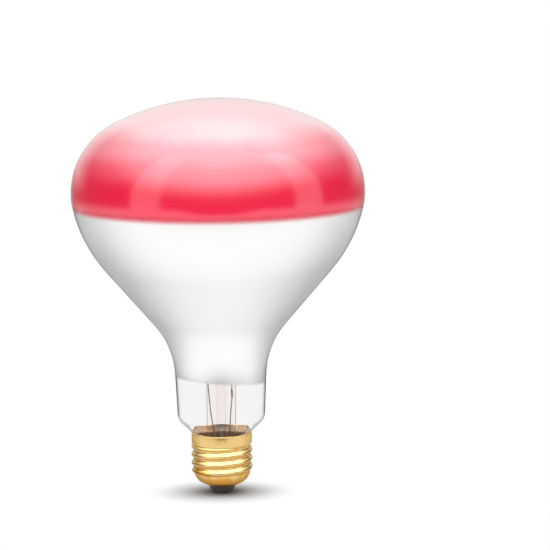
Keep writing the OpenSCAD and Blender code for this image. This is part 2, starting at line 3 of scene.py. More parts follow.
import bmesh
import bpy
import numpy as np
from mathutils import Matrix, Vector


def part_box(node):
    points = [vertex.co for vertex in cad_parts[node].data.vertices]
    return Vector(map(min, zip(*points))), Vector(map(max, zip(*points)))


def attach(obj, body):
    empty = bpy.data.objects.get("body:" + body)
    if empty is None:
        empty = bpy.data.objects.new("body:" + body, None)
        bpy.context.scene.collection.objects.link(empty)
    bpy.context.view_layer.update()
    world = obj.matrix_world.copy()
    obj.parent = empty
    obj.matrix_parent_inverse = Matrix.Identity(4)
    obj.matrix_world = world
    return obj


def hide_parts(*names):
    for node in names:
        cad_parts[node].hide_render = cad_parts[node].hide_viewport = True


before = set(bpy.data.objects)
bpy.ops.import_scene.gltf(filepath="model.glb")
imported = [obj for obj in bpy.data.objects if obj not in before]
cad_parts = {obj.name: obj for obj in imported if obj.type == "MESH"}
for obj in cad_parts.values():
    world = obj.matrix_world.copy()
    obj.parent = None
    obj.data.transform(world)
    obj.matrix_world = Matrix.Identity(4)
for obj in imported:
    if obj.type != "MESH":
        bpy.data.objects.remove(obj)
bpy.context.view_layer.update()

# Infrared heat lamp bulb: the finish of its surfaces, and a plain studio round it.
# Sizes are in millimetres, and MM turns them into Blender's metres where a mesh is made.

MM = 0.001


def node_box(node):
    """Lowest and highest corner of a CAD node, in millimetres."""
    return tuple(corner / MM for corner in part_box(node))


# Sizes read from the frame
glass_low, glass_high = node_box("envelope")
shell_low, shell_high = node_box("screw_shell")
insulator_high = node_box("insulator")[1]
contact_high = node_box("centre_contact")[1]
solder_high = node_box("contact_solder")[1]
spot_low, spot_high = node_box("side_solder")
cement_low = node_box("cement_ring")[0]
glass_r = (glass_high.x - glass_low.x) / 2
glass_top = glass_high.z
spigot_z = glass_low.z
rim_z = shell_high.z
rim_r = (shell_high.x - shell_low.x) / 2
bowl_open_z = shell_low.z
contact_r, contact_t = contact_high.x, contact_high.z

# The blown glass
equator_z = 130
knuckle_r = 33
knuckle_angle = 15.5
belly_r = 62.5
cone_angle = 40.5
throat_r = 36
neck_r = 19.2
neck_z = 44
neck_flare = 2.6
shoulder_z = 32.3
shoulder_angle = 46
shoulder_r = 6
spigot_r = 11
spigot_fillet = 1.2
glass_wall = 0.9

# The coats. A fade is how far a coat's edge takes to thin out.
coat_wall = 0.19
coat_edge_z = 125
coat_fade = 2.4
coat_edge_reach = 0.2
coat_edge_share = 0.25
coat_cloud = 1.5
film_wall = 0.2
film_top_z = 130
film_edge_z = 48.6
film_fade = 2.4
film_tilt_side = 4.2
film_tilt_back = 3
neck_grey_fade = 8

# How far a piece reaches into its neighbour, or stays off it, so that no two faces lie in one place
bond = 0.02

# The screw shell
sheet = 0.3
crest_r = 13.1
root_r = 12.2
pitch = 3.629
crest_z = 11.4
thread_bottom_z = 8.6
thread_top_z = 21.9
fade_h = 1.4
collar_r = 12.9
lip_h = 0.7
bowl_r = 11.95
bowl_lean = 1.5
bowl_turn_h = 2
bowl_turn_r = 4.5
bowl_open_r = 6.2
warm_h = 14

# The black glass and the contact
tip_r = 4.5
tip_round = 0.6
lead_hole_r = 0.6
eyelet_r = 1.1
contact_round = 0.2

# The leads. Shares are of the leads' distance from the axis in x and y, and of the bore's height in z.
seal_x = 5
bore_end_z = 56
press_top_z = 73
outer_wire_r = 0.25
inner_wire_r = 0.45
bead_r = 0.45
bead_fade = 0.3
wire_bend = 1.5
bend_share = 0.45
inner_bend = 4
inner_rise_share = 0.3
side_lead_shares = [(-1.06, 0, 0.9), (-1.12, 0, 0.77), (-1.02, -0.1, 0.62), (-0.9, -0.2, 0.45),
                    (-0.68, -0.28, 0.28), (-0.56, -0.3, 0.17), (-0.6, 0.3, 0.06)]
centre_lead_shares = [(0.96, 0, 0.86), (0.92, 0, 0.705), (0.95, 0, 0.628), (0.88, 0, 0.55),
                      (0.78, 0, 0.42), (0.73, 0, 0.3), (0.69, 0, 0.17)]
centre_foot_shares = (0.68, 0.4)
under_flare = [(-2.53, 4.95, 15.45), (-0.99, 8.8, 14.95), (0, 11.2, 15.45)]
climb_r = 11.45
collar_climb_r = 12.1
side_hole_z = (spot_low.z + spot_high.z) / 2
exhaust_tip_z = 13

# The filament and its supports
ring_r = 15
ring_z = 98
ring_gap = 70
coil_r = 0.75
coil_wire_r = 0.15
coil_turns = 48
coil_turn_points = 20
clamp_r = 0.8
clamp_l = 2.4
clamp_turn = 4.74
clamp_length_shares = [-1, -0.96, 0.96, 1]
clamp_radius_shares = [0.8, 1, 1, 0.8]
button_z = 87.5
button_r = 4
support_root_r = 2
support_wire_r = 0.2
support_bend = 1.3
loop_r = 1.2
loop_meets = 225
loop_start = 8
loop_end = 350
loop_points = 40
supports = 5
ring_start = -90 + ring_gap / 2
ring_turn = 360 - ring_gap


# Outlines in the r, z plane

def arc(centre, radius, start, end, steps):
    angles = np.radians(np.linspace(start, end, steps + 1))
    return np.array(centre) + radius * np.column_stack([np.cos(angles), np.sin(angles)])


def rounded_path(corners, steps=8):
    """A path through corners (r, z, rounding), with sharp ends."""
    points = []
    for i, (r, z, rounding) in enumerate(corners):
        b = np.array([r, z], float)
        if i in (0, len(corners) - 1) or rounding == 0:
            points.append(b)
            continue
        to_a = np.array(corners[i - 1][:2]) - b
        to_c = np.array(corners[i + 1][:2]) - b
        to_a = to_a / np.linalg.norm(to_a)
        to_c = to_c / np.linalg.norm(to_c)
        half = math.acos(np.clip(to_a @ to_c, -1, 1)) / 2
        middle = (to_a + to_c) / np.linalg.norm(to_a + to_c)
        centre = b + middle * rounding / math.sin(half)
        p = b + to_a * rounding / math.tan(half) - centre
        q = b + to_c * rounding / math.tan(half) - centre
        start = math.degrees(math.atan2(p[1], p[0]))
        turn = math.degrees(math.atan2(p[0] * q[1] - p[1] * q[0], p @ q))
        points.extend(arc(centre, rounding, start, start + turn, steps))
    return np.array(points)


def moved_path(path, distance):
    """The path moved to the left of its own direction. Points on the axis stay on it."""
    step = np.diff(path, axis=0)
    normal = np.column_stack([-step[:, 1], step[:, 0]])
    normal /= np.linalg.norm(normal, axis=1)[:, None]
    before = np.vstack([normal[:1], normal])
    after = np.vstack([normal, normal[-1:]])
    dots = (before * after).sum(1)[:, None]
    moved = path + distance * (before + after) / (1 + dots)
    moved[path[:, 0] == 0, 0] = 0
    return moved


def direction(angle):
    return np.array([math.cos(math.radians(angle)), math.sin(math.radians(angle))])


def bulb_outline():
    """The outside of the blown glass, from the tube's lower end up to the crown."""
    crown_h = glass_top - equator_z
    crown_r = ((glass_r - knuckle_r) ** 2 + crown_h ** 2 - knuckle_r ** 2) / (2 * (crown_h - knuckle_r))
    crown_centre = np.array([0, glass_top - crown_r])
    knuckle_centre = np.array([glass_r - knuckle_r, equator_z])
    knuckle_end = math.degrees(math.atan2(knuckle_centre[1] - crown_centre[1], knuckle_centre[0]))
    belly_centre = knuckle_centre + (knuckle_r - belly_r) * direction(-knuckle_angle)
    cone_normal, neck_normal = direction(-cone_angle), direction(-neck_flare)
    cone_reach = cone_normal @ (belly_centre + belly_r * cone_normal) + throat_r
    neck_reach = neck_normal @ np.array([neck_r, neck_z]) + throat_r
    throat_centre = np.linalg.solve(np.array([cone_normal, neck_normal]), [cone_reach, neck_reach])
    shoulder_top_r = neck_r + (shoulder_z - neck_z) * math.tan(math.radians(neck_flare))
    spigot_top_z = shoulder_z - (shoulder_top_r - spigot_r) / math.tan(math.radians(shoulder_angle))
    throat = arc(throat_centre, throat_r, 180 - neck_flare, 180 - cone_angle, 28)
    foot = rounded_path([(spigot_r, spigot_z, 0), (spigot_r, spigot_top_z, spigot_fillet),
                         (shoulder_top_r, shoulder_z, shoulder_r), (*throat[0], 0)], 14)
    crown = arc(crown_centre, crown_r, knuckle_end, 90, 36)
    crown[-1, 0] = 0
    return np.vstack([foot, throat[1:], arc(belly_centre, belly_r, -cone_angle, -knuckle_angle, 18),
                      arc(knuckle_centre, knuckle_r, -knuckle_angle, knuckle_end, 56)[1:], crown[1:]])


def between(path, low_z, high_z, rows):
    """The part of a rising path between two heights, in even steps of height."""
    heights = np.linspace(low_z, high_z, rows + 1)
    return np.column_stack([np.interp(heights, path[:, 1], path[:, 0]), heights])


def ease(x, a, b):
    t = np.clip((x - a) / (b - a), 0, 1)
    return t * t * (3 - 2 * t)


# Meshes

COLUMNS = 192
SMOOTH_ANGLE = 35


def add_piece(name, points, faces, material, nodes, slot, smooth_angle=SMOOTH_ANGLE):
    """A closed mesh from points in millimetres that stands for CAD nodes."""
    mesh = bpy.data.meshes.new(name)
    mesh.from_pydata((np.asarray(points) * MM).tolist(), [], faces)
    work = bmesh.new()
    work.from_mesh(mesh)
    bmesh.ops.recalc_face_normals(work, faces=work.faces)
    work.to_mesh(mesh)
    work.free()
    mesh.materials.append(material)
    piece = bpy.data.objects.new(name, mesh)
    bpy.context.scene.collection.objects.link(piece)
    mesh.shade_smooth()
    mesh.set_sharp_from_angle(angle=math.radians(smooth_angle))
    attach(piece, "root")
    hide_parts(*nodes)
    return piece


def skin(rings, closed):
    """Points and faces of a surface through rings of points. A ring of one point is a pole.
    closed joins the last ring to the first."""
    points, starts = [], []
    for ring in rings:
        starts.append(len(points))
        points.extend(ring)
    faces = []
    last = len(rings) if closed else len(rings) - 1
    for i in range(last):
        a, b = i, (i + 1) % len(rings)
        na, nb = len(rings[a]), len(rings[b])
        for k in range(max(na, nb)):
            corners = [starts[a] + k % na, starts[a] + (k + 1) % na,
                       starts[b] + (k + 1) % nb, starts[b] + k % nb]
            corners = list(dict.fromkeys(corners))
            if len(corners) > 2:
                faces.append(corners)
    return points, faces


def turned_rings(path, columns):
    """Rings of points from a path of (r, z) points."""
    angles = 2 * np.pi * np.arange(columns) / columns
    return [[(0, 0, z)] if r < 1e-6 else
            np.column_stack([r * np.cos(angles), r * np.sin(angles), np.full(columns, z)]).tolist()
            for r, z in path]


def turned(name, path, material, nodes, slot, closed=True, columns=COLUMNS, smooth_angle=SMOOTH_ANGLE):
    """A solid turned from a path of (r, z) points. A path that starts and ends on the axis isn't closed."""
    points, faces = skin(turned_rings(path, columns), closed)
    return add_piece(name, points, faces, material, nodes, slot, smooth_angle)


def unit(v):
    return np.asarray(v, float) / np.linalg.norm(v)


def bent(corners, reach=wire_bend, steps=6):
    """A path through corners in space that turns each one in a curve, starting this far from it, or at
    bend_share of the way to the next corner where that is nearer."""
    corners = [np.array(corner, float) for corner in corners]
    points = [corners[0]]
    for a, b, c in zip(corners, corners[1:], corners[2:]):
        near = min(reach, bend_share * np.linalg.norm(a - b), bend_share * np.linalg.norm(c - b))
        p, q = b + near * unit(a - b), b + near * unit(c - b)
        points += [(1 - t) ** 2 * p + 2 * t * (1 - t) * b + t * t * q for t in np.linspace(0, 1, steps + 1)]
    return np.array(points + [corners[-1]])


def finer(path, parts=4):
    """The same path, with each of its steps cut into equal parts."""
    return np.vstack([np.linspace(a, b, parts + 1)[:-1] for a, b in zip(path, path[1:])] + [path[-1:]])


def swept(path, radius, sides=16):
    """Points and faces of a round wire along a path. Each ring's frame is carried on from the one before,
    so it never twists. The radius may change along the path."""
    path = np.asarray(path, float)
    radii = np.broadcast_to(radius, len(path))
    steps = np.array([unit(step) for step in np.diff(path, axis=0)])
    along = np.vstack([steps[:1], steps]) + np.vstack([steps, steps[-1:]])
    side = np.array([1.0, 0, 0]) if abs(unit(along[0])[0]) < 0.9 else np.array([0, 1.0, 0])
    angles = 2 * np.pi * np.arange(sides)[:, None] / sides
    rings = [[path[0]]]
    for centre, way, r in zip(path, along, radii):
        way = unit(way)
        side = unit(side - (side @ way) * way)
        rings.append(list(centre + r * (np.cos(angles) * side + np.sin(angles) * np.cross(way, side))))
    return skin(rings + [[path[-1]]], False)


def joined(*solids):
    """The points and faces of several solids in one mesh."""
    points, faces = [], []
    for more_points, more_faces in solids:
        faces += [[corner + len(points) for corner in face] for face in more_faces]
        points += list(more_points)
    return points, faces


# Materials

def plug(tree, socket, value):
    """Links a socket to another one, or sets its value. A colour is given without its alpha."""
    if isinstance(value, bpy.types.NodeSocket):
        tree.links.new(value, socket)
    else:
        socket.default_value = (*value, 1) if socket.type == "RGBA" else value


def plug_named(tree, node, values):
    for name, value in values.items():
        plug(tree, node.inputs[name.replace("_", " ")], value)


def new_material(name, **values):
    """A material whose Principled shader has these values on its own sockets."""
    made = bpy.data.materials.new(name)
    made.use_nodes = True
    shader = made.node_tree.nodes["Principled BSDF"]
    plug_named(made.node_tree, shader, values)
    return made, made.node_tree, shader


def add_node(tree, kind, **inputs):
    node = tree.nodes.new(kind)
    plug_named(tree, node, inputs)
    return node


def object_place(tree, stretch=(1, 1, 1)):
    """Coordinates in metres in the object's own frame, stretched along its axes."""
    place = add_node(tree, "ShaderNodeTexCoord").outputs["Object"]
    return add_node(tree, "ShaderNodeMapping", Vector=place, Scale=stretch).outputs["Vector"]


def noise(tree, scale, detail=3, stretch=(1, 1, 1)):
    """Noise from 0 to 1, with scale in cells to a metre."""
    return add_node(tree, "ShaderNodeTexNoise", Vector=object_place(tree, stretch), Scale=scale,
                    Detail=detail).outputs["Fac"]


def mapped(tree, value, low, high, to_low, to_high, smooth=False):
    node = add_node(tree, "ShaderNodeMapRange", Value=value, From_Min=low, From_Max=high,
                    To_Min=to_low, To_Max=to_high)
    node.interpolation_type = "SMOOTHSTEP" if smooth else "LINEAR"
    return node.outputs["Result"]


def blended(tree, factor, a, b, kind="FLOAT"):
    """A value that goes from a to b as the factor goes from 0 to 1."""
    node = tree.nodes.new("ShaderNodeMix")
    node.data_type = kind
    plug_named(tree, node, {"Factor": factor, "A": a, "B": b})
    return node.outputs["Result"]


def two_tones(tree, factor, first, second):
    return blended(tree, factor, first, second, "RGBA")


def math_node(tree, operation, a, b):
    node = tree.nodes.new("ShaderNodeMath")
    node.operation = operation
    for socket, value in zip(node.inputs, (a, b)):
        plug(tree, socket, value)
    return node.outputs["Value"]


def vector_node(tree, operation, *vectors):
    """The number that an operation on vectors gives."""
    node = tree.nodes.new("ShaderNodeVectorMath")
    node.operation = operation
    for socket, value in zip(node.inputs, vectors):
        plug(tree, socket, value)
    return node.outputs["Value"]


def mixed_shaders(tree, factor, first, second):
    node = tree.nodes.new("ShaderNodeMixShader")
    for socket, value in zip(node.inputs, (factor, first, second)):
        plug(tree, socket, value)
    return node.outputs["Shader"]


def clouds(tree, scale, detail=3, low=0, high=1, stretch=(1, 1, 1), thin=0.3, full=0.7):
    """Noise spread so that it goes from low to high. Thin and full are where it gets there."""
    return mapped(tree, noise(tree, scale, detail, stretch), thin, full, low, high)


def set_roughness(tree, shader, low, high, scale, detail=3):
    tree.links.new(clouds(tree, scale, detail, low, high), shader.inputs["Roughness"])


def add_bump(tree, shader, height, depth, strength=0.5):
    """Depth is in millimetres."""
    bump = add_node(tree, "ShaderNodeBump", Height=height, Distance=depth * MM, Strength=strength)
    tree.links.new(bump.outputs["Normal"], shader.inputs["Normal"])


def height_above_edge(tree, edge_z, tilt_side=0, tilt_back=0):
    """Height in metres above an edge that falls by these slopes to the right and to the back."""
    place = add_node(tree, "ShaderNodeSeparateXYZ",
                     Vector=add_node(tree, "ShaderNodeTexCoord").outputs["Object"]).outputs
    fall = math_node(tree, "ADD", math_node(tree, "MULTIPLY", place["X"], tilt_side),
                     math_node(tree, "MULTIPLY", place["Y"], tilt_back))
    return math_node(tree, "SUBTRACT", math_node(tree, "ADD", place["Z"], fall), edge_z * MM)


def colour_ramp(tree, value, stops):
    """Colours at positions from 0 to 1, eased between."""
    node = tree.nodes.new("ShaderNodeValToRGB")
    node.color_ramp.interpolation = "EASE"
    entries = node.color_ramp.elements
    while len(entries) < len(stops):
        entries.new(0.5)
    for entry, (position, colour) in zip(entries, stops):
        entry.position = position
        entry.color = (*colour, 1)
    tree.links.new(value, node.inputs["Fac"])
    return node.outputs["Color"]


def red_lacquer():
    """Sprayed lacquer: full red at its lower edge and paler towards the crown, where the pale pink is a
    painted reflection of the bright light overhead.
    """
    made, tree, shader = new_material("red_lacquer", IOR=1.95, Sheen_Weight=0.85, Sheen_Roughness=0.22,
                                      Sheen_Tint=(1, 0.88, 0.82))
    edge = height_above_edge(tree, coat_edge_z)
    rise = math_node(tree, "ADD", edge, clouds(tree, 30, low=-coat_cloud * MM, high=coat_cloud * MM))
    height = mapped(tree, rise, 0, (glass_top - coat_edge_z) * MM, 0, 1)
    # The paler colour towards the crown is a painted reflection of the light overhead.
    tree.links.new(colour_ramp(tree, height, lacquer_and_painted_highlight_stops), shader.inputs["Base Color"])
    set_roughness(tree, shader, 0.13, 0.17, scale=160)
    tree.links.new(mapped(tree, edge, -coat_fade * MM, coat_fade * MM, 0, 1, smooth=True),
                   shader.inputs["Alpha"])
    add_bump(tree, shader, noise(tree, 200, detail=2), depth=0.003)
    return made


def silver_film():
    """A satin mirror that is darker where it is seen edge on, and thins out at its lower edge."""
    made, tree, shader = new_material("silver_film", Metallic=1.0, Specular_Tint=(0.35, 0.34, 0.32))
    tones = two_tones(tree, clouds(tree, 26, detail=4), (0.98, 0.98, 0.975), (0.96, 0.96, 0.95))
    tree.links.new(tones, shader.inputs["Base Color"])
    set_roughness(tree, shader, 0.33, 0.39, scale=90)
    rise = height_above_edge(tree, film_edge_z, math.tan(math.radians(film_tilt_side)),
                             math.tan(math.radians(film_tilt_back)))
    tree.links.new(mapped(tree, rise, 0, film_fade * MM, 0, 1, smooth=True), shader.inputs["Alpha"])
    return made


def clear_glass(name, tint, neck_tint, waviness, bend):
    """Glass that lets lamps and reflections through, so that what it holds is lit and mirrors the studio.
    The glass is greyer on the neck, below the film's edge. Bend is the index of refraction."""
    made, tree, shader = new_material(name, Transmission_Weight=1.0, IOR=bend)
    rise = height_above_edge(tree, film_edge_z)
    tree.links.new(two_tones(tree, mapped(tree, rise, 0, neck_grey_fade * MM, 0, 1, smooth=True), neck_tint, tint),
                   shader.inputs["Base Color"])
    set_roughness(tree, shader, 0, 0.02, scale=60, detail=2)
    add_bump(tree, shader, noise(tree, 38, detail=2, stretch=(1, 1, 0.4)), waviness, strength=0.3)
    clear = add_node(tree, "ShaderNodeBsdfTransparent", Color=tint)
    path = add_node(tree, "ShaderNodeLightPath").outputs
    mirrored = mixed_shaders(tree, path["Is Reflection Ray"], shader.outputs["BSDF"], clear.outputs["BSDF"])
    mix = mixed_shaders(tree, path["Is Shadow Ray"], mirrored, clear.outputs["BSDF"])
    tree.links.new(mix, tree.nodes["Material Output"].inputs["Surface"])
    return made


def add_scratches(tree, shader):
    """Fine lines round the axis, as rolling and turning leave them."""
    add_bump(tree, shader, noise(tree, 300, detail=4, stretch=(1, 1, 22)), depth=0.006)


def metal(name, first, second, roughness, patch=180):
    """A metal in two close tones, with fine lines round the axis."""
    made, tree, shader = new_material(name, Metallic=1.0)
    tones = two_tones(tree, clouds(tree, patch, detail=4, thin=0.35, full=0.65), first, second)
    tree.links.new(tones, shader.inputs["Base Color"])
    set_roughness(tree, shader, *roughness, scale=2.5 * patch)
    add_scratches(tree, shader)
    return made


def brass():
    """Thin rolled brass, with warmer patches that grow towards the tip."""
    tip_more, top_more = 0.26, -0.04
    patch_start, patch_full = 0.5, 0.75
    made, tree, shader = new_material("brass", Metallic=1.0, Specular_Tint=(1, 0.86, 0.6))
    patch = noise(tree, 150, stretch=(1, 1, 1.6))
    rise = height_above_edge(tree, bowl_open_z)
    more = mapped(tree, rise, 0, warm_h * MM, tip_more, top_more, smooth=True)
    warm = mapped(tree, math_node(tree, "ADD", patch, more), patch_start, patch_full, 0, 1, smooth=True)
    tree.links.new(two_tones(tree, warm, (0.82, 0.57, 0.23), (0.74, 0.38, 0.07)), shader.inputs["Base Color"])
    set_roughness(tree, shader, 0.12, 0.24, scale=420)
    add_scratches(tree, shader)
    return made


def black_glass():
    """Moulded glass with a faint skin of gloss."""
    made, tree, shader = new_material("black_glass", Coat_Weight=0.6, Coat_Roughness=0.1)
    tones = two_tones(tree, clouds(tree, 240, detail=4), (0.032, 0.029, 0.033), (0.018, 0.016, 0.019))
    tree.links.new(tones, shader.inputs["Base Color"])
    set_roughness(tree, shader, 0.25, 0.45, scale=500)
    add_bump(tree, shader, noise(tree, 380), depth=0.05)
    return made


def cement():
    """Baked cement with pale upright streaks, which are painted glints of the glass in front of it. It shines
    where it lies against the glass.
    """
    made, tree, shader = new_material("cement", Roughness=0.42, Metallic=0.7)
    painted_glint_streak = clouds(tree, 300, detail=5, stretch=(1, 1, 0.2), thin=0.45, full=0.65)
    # The pale streak tone is a painted glint of the glass, not a mark in the cement.
    tree.links.new(two_tones(tree, painted_glint_streak, (0.88, 0.55, 0.34), (0.97, 0.86, 0.74)),
                   shader.inputs["Base Color"])
    add_bump(tree, shader, noise(tree, 900, detail=4), depth=0.12, strength=0.8)
    return made


# Colours of the lacquer, by share of the height from its edge up to the crown. The pale stops near the crown
# are a painted reflection of the light overhead.
lacquer_and_painted_highlight_stops = [(0.0, (1.0, 0.006, 0.065)), (0.24, (0.96, 0.005, 0.05)), (0.42, (0.95, 0.035, 0.10)),
                 (0.60, (0.94, 0.20, 0.26)), (0.82, (0.96, 0.60, 0.62))]

materials = {
    "red_lacquer": red_lacquer(),
    "silver_film": silver_film(),
    "clear_glass": clear_glass("clear_glass", (0.985, 0.985, 0.985), (0.955, 0.952, 0.95), 0.05, 1.065),
    "stem_glass": clear_glass("stem_glass", (0.99, 0.98, 0.975), (0.985, 0.97, 0.965), 0.02, 1.025),
    "brass": brass(),
    # The contact plate's dark tone is painted shade, for brass that lies in shadow under the tip.
    "contact_brass": metal("contact_brass", (0.30, 0.24, 0.15), (0.22, 0.18, 0.12), (0.35, 0.5)),
    "solder": metal("solder", (0.62, 0.62, 0.61), (0.48, 0.48, 0.49), (0.25, 0.5), 700),
    "seal_wire": metal("seal_wire", (0.70, 0.36, 0.26), (0.58, 0.28, 0.20), (0.3, 0.45), 600),
    "lead_wire": metal("lead_wire", (0.62, 0.46, 0.40), (0.46, 0.33, 0.28), (0.35, 0.5), 600),
    "nickel_wire": metal("nickel_wire", (0.62, 0.60, 0.56), (0.52, 0.50, 0.47), (0.25, 0.4), 500),
    "support_wire": metal("support_wire", (0.46, 0.46, 0.47), (0.36, 0.36, 0.38), (0.3, 0.45), 600),
    "tungsten": metal("tungsten", (0.30, 0.30, 0.31), (0.20, 0.20, 0.21), (0.35, 0.5), 800),
    "black_glass": black_glass(),
    "cement": cement(),
}


# The glass and its two coats

outline = bulb_outline()


def bulb_glass():
    inside = moved_path(outline, glass_wall)
    turned("bulb_glass", np.vstack([outline, inside[::-1]]), materials["clear_glass"],
           ["envelope"], "clear_glass", smooth_angle=60)


def red_front():
    """The red coat thins out towards a feathered lower edge."""
    low, full = coat_edge_z - coat_fade, coat_edge_z + coat_fade
    path = np.vstack([between(outline, low, full, 10), outline[outline[:, 1] > full]])
    outside = moved_path(path, -coat_wall)
    share = ease(path[:, 1], low - coat_edge_reach, full)[:, None]
    outside = path + (outside - path) * np.maximum(share, coat_edge_share)
    inside = moved_path(path, -bond)
    turned("red_front", np.vstack([outside, inside[::-1]]), materials["red_lacquer"],
           ["red_coating"], "red_lacquer", smooth_angle=60)


def silver_lining():
    """The film lies on the inside of the glass. Its lower edge falls to the right and to the back, and its
    rows lie closer there."""
    rows, crowding = 90, 1.3
    outer = moved_path(outline, glass_wall - bond)
    inner = moved_path(outline, glass_wall + film_wall)
    slope = np.array([math.tan(math.radians(film_tilt_side)), math.tan(math.radians(film_tilt_back))])
    angles = 2 * np.pi * np.arange(COLUMNS) / COLUMNS
    across = np.column_stack([np.cos(angles), np.sin(angles)])
    shares = np.linspace(0, 1, rows + 1) ** crowding

    def side(path):
        rings = []
        rising = path[path[:, 0] > 0]
        edge_r = np.interp(film_edge_z, rising[:, 1], rising[:, 0])
        edge_z = film_edge_z - edge_r * across @ slope
        for share in shares:
            z = edge_z + (film_top_z - edge_z) * share
            r = np.interp(z, rising[:, 1], rising[:, 0])
            rings.append(np.column_stack([r[:, None] * across, z]).tolist())
        return rings

    points, faces = skin(side(outer) + side(inner)[::-1], True)
    add_piece("silver_lining", points, faces, materials["silver_film"], ["reflector_coating"],
              "silver_film", smooth_angle=60)


# The base

def bowl_path(steps, *heights):
    """The outside of the bowl, from its opening round its corner up to these heights."""
    return rounded_path([(bowl_open_r, bowl_open_z, 0),
                         (bowl_r - bowl_lean, bowl_open_z + bowl_turn_h, bowl_turn_r),
                         *((bowl_r, z, 0) for z in heights)], steps)


def collar_path(steps):
    """The outside of the collar, with its flared lip."""
    return rounded_path([(collar_r, thread_top_z, 0), (collar_r, rim_z - lip_h, lip_h),
                         (rim_r, rim_z, 0)], steps)


def thread_radius(angle, z):
    """Outside radius of the rolled thread. The shell's plain stretches keep their own radius."""
    begins = ease(z, thread_bottom_z, thread_bottom_z + fade_h)
    fade = begins * (1 - ease(z, thread_top_z - fade_h, thread_top_z))
    plain = (bowl_r + (root_r - bowl_r) * begins
             + (collar_r - root_r) * ease(z, thread_top_z - fade_h / 2, thread_top_z))
    turn = (z - crest_z) / pitch - angle / 360
    return plain + (crest_r - root_r) * fade * (1 + np.cos(2 * np.pi * turn)) / 2


def brass_shell():
    """One rolled sheet: the bowl, the thread and the collar with its lip."""
    columns, rows = 240, 110
    angles = 360 * np.arange(columns) / columns
    across = np.column_stack([np.cos(np.radians(angles)), np.sin(np.radians(angles))])
    bowl = bowl_path(16, thread_bottom_z - sheet, thread_bottom_z)
    collar = collar_path(10)

    def side(inset):
        levels = [(across * r, z) for r, z in moved_path(bowl, inset)[:-1]]
        levels += [(across * (thread_radius(angles, z) - inset)[:, None], z)
                   for z in np.linspace(thread_bottom_z, thread_top_z, rows + 1)]
        levels += [(across * r, z) for r, z in moved_path(collar, inset)[1:]]
        return [np.column_stack([ring, np.full(columns, z)]).tolist() for ring, z in levels]

    points, faces = skin(side(0) + side(sheet)[::-1], True)
    add_piece("brass_shell", points, faces, materials["brass"], ["screw_shell"], "brass", smooth_angle=50)


def black_tip():
    """The moulded glass fills the bowl, and shows below it as a cone with a rounded edge."""
    cone = rounded_path([(lead_hole_r, contact_t, 0), (tip_r, contact_t, tip_round),
                         (bowl_open_r - sheet / 2, bowl_open_z - sheet / 4, 0)], 8)
    seat = moved_path(bowl_path(12, insulator_high.z), sheet - bond)
    path = np.vstack([cone, seat, [(lead_hole_r, insulator_high.z)]])
    turned("black_tip", path, materials["black_glass"], ["insulator"], "black_glass")


def contact():
    """The contact plate is stamped, with a rounded edge. Solder fills its hole and sags a little."""
    plate = rounded_path([(eyelet_r, contact_round / 2, 0), (eyelet_r + contact_round / 2, 0, 0),
                          (contact_r, 0, contact_round), (contact_r, contact_t + bond, 0),
                          (eyelet_r, contact_t + bond, 0)], 6)
    # The plate's dark finish is painted shade under the tip.
    turned("contact_plate", plate, materials["contact_brass"], ["centre_contact"], "contact_brass",
           columns=96)
    sag = [(eyelet_r * share + bond * (share > 0), contact_round * share ** 2 / 2)
           for share in np.linspace(0, 1, 7)]
    dot = sag + [(eyelet_r + bond, contact_t), (lead_hole_r + bond, contact_t + bond),
                 (lead_hole_r + bond, solder_high.z), (0, solder_high.z)]
    turned("contact_dot", np.array(dot), materials["solder"], ["contact_solder"], "solder",
           closed=False, columns=64)


def side_dot():
    """A low dome of solder that lies on the collar's back."""
    columns, rows = 48, 12
    radius, rise = (spot_high.x - spot_low.x) / 2, spot_high.y - collar_r
    angles = 2 * np.pi * np.arange(columns) / columns
    rings = [[(0, collar_r - sheet / 2, side_hole_z)]]
    for share in np.linspace(1, 0, rows)[:-1]:
        x, z = share * radius * np.cos(angles), share * radius * np.sin(angles)
        lift = rise * (1 - share ** 2) - sheet / 4 * (share == 1)
        rings.append(list(np.column_stack([x, np.sqrt(collar_r ** 2 - x ** 2) + lift, side_hole_z + z])))
    points, faces = skin(rings + [[(0, collar_r + rise, side_hole_z)]], False)
    add_piece("side_dot", points, faces, materials["solder"], ["side_solder"], "solder")


def cement_collar():
    """The cement between the glass and the shell, up to just below the rim."""
    top = rim_z - sheet / 2
    wall = between(outline, cement_low.z, top, 24)[::-1] + (bond, 0)
    lip = moved_path(collar_path(8), sheet - bond)
    path = np.vstack([[(root_r - 2 * sheet, cement_low.z), (root_r - 2 * sheet, thread_top_z)],
                      lip[lip[:, 1] < top], wall])
    turned("cement_collar", path, materials["cement"], ["cement_ring"], "cement")


def wire_piece(name, solid, finish, node):
    add_piece(name, *solid, materials[finish], [node], finish, smooth_angle=50)


def in_stem(shares):
    return shares[0] * seal_x, shares[1] * seal_x, spigot_z + (bore_end_z - spigot_z) * shares[2]


